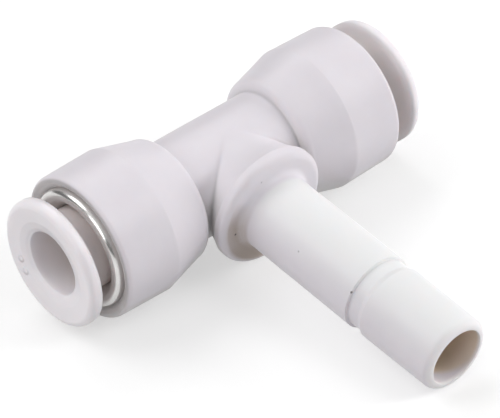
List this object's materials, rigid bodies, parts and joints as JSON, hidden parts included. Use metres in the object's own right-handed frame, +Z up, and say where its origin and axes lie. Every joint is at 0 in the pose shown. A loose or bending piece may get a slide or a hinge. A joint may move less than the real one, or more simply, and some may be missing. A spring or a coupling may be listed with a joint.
{
  "type": "push-in tube fitting",
  "caption": "White push-in branch tee: collet ports with release rings on both ends of the run and a plug-in stem with a snap groove on the branch",
  "frame": {"origin": "middle of the resting footprint box: under the middle of the run, halfway between the back of the heads and the stem's tip, on the surface that the heads and the stem's tip rest on", "axes": "+X along the run towards the right port, the stem points along -Y and dips a little to its resting tip, +Z up"},
  "size_m": [0.0426, 0.041, 0.0154],
  "materials": {
    "body_plastic": "satin moulded, faintly lilac white",
    "ring_plastic": "satin moulded white",
    "plated_metal": "bright nickel plate",
    "spring_steel": "bright rolled sheet",
    "seat_plastic": "moulded, natural white",
    "seal_rubber": "matt black"
  },
  "bodies": {
    "fitting": {"body": "body_plastic", "guide_ring_left": "plated_metal", "claw_ring_left": "spring_steel", "claw_seat_left": "seat_plastic", "seal_left": "seal_rubber", "guide_ring_right": "plated_metal", "claw_ring_right": "spring_steel", "claw_seat_right": "seat_plastic", "seal_right": "seal_rubber"},
    "ring_left": {"release_ring_left": "ring_plastic"},
    "ring_right": {"release_ring_right": "ring_plastic"}
  },
  "joints": [
    {"name": "release_left", "type": "slide", "parent": "fitting", "child": "ring_left", "axis": [1, 0, 0], "range_m": [0, 0.0015], "stiffness_N_per_m": 1000, "deforming": ["claw_ring_left"]},
    {"name": "release_right", "type": "slide", "parent": "fitting", "child": "ring_right", "axis": [-1, 0, 0], "range_m": [0, 0.0015], "stiffness_N_per_m": 1000, "deforming": ["claw_ring_right"]}
  ]
}
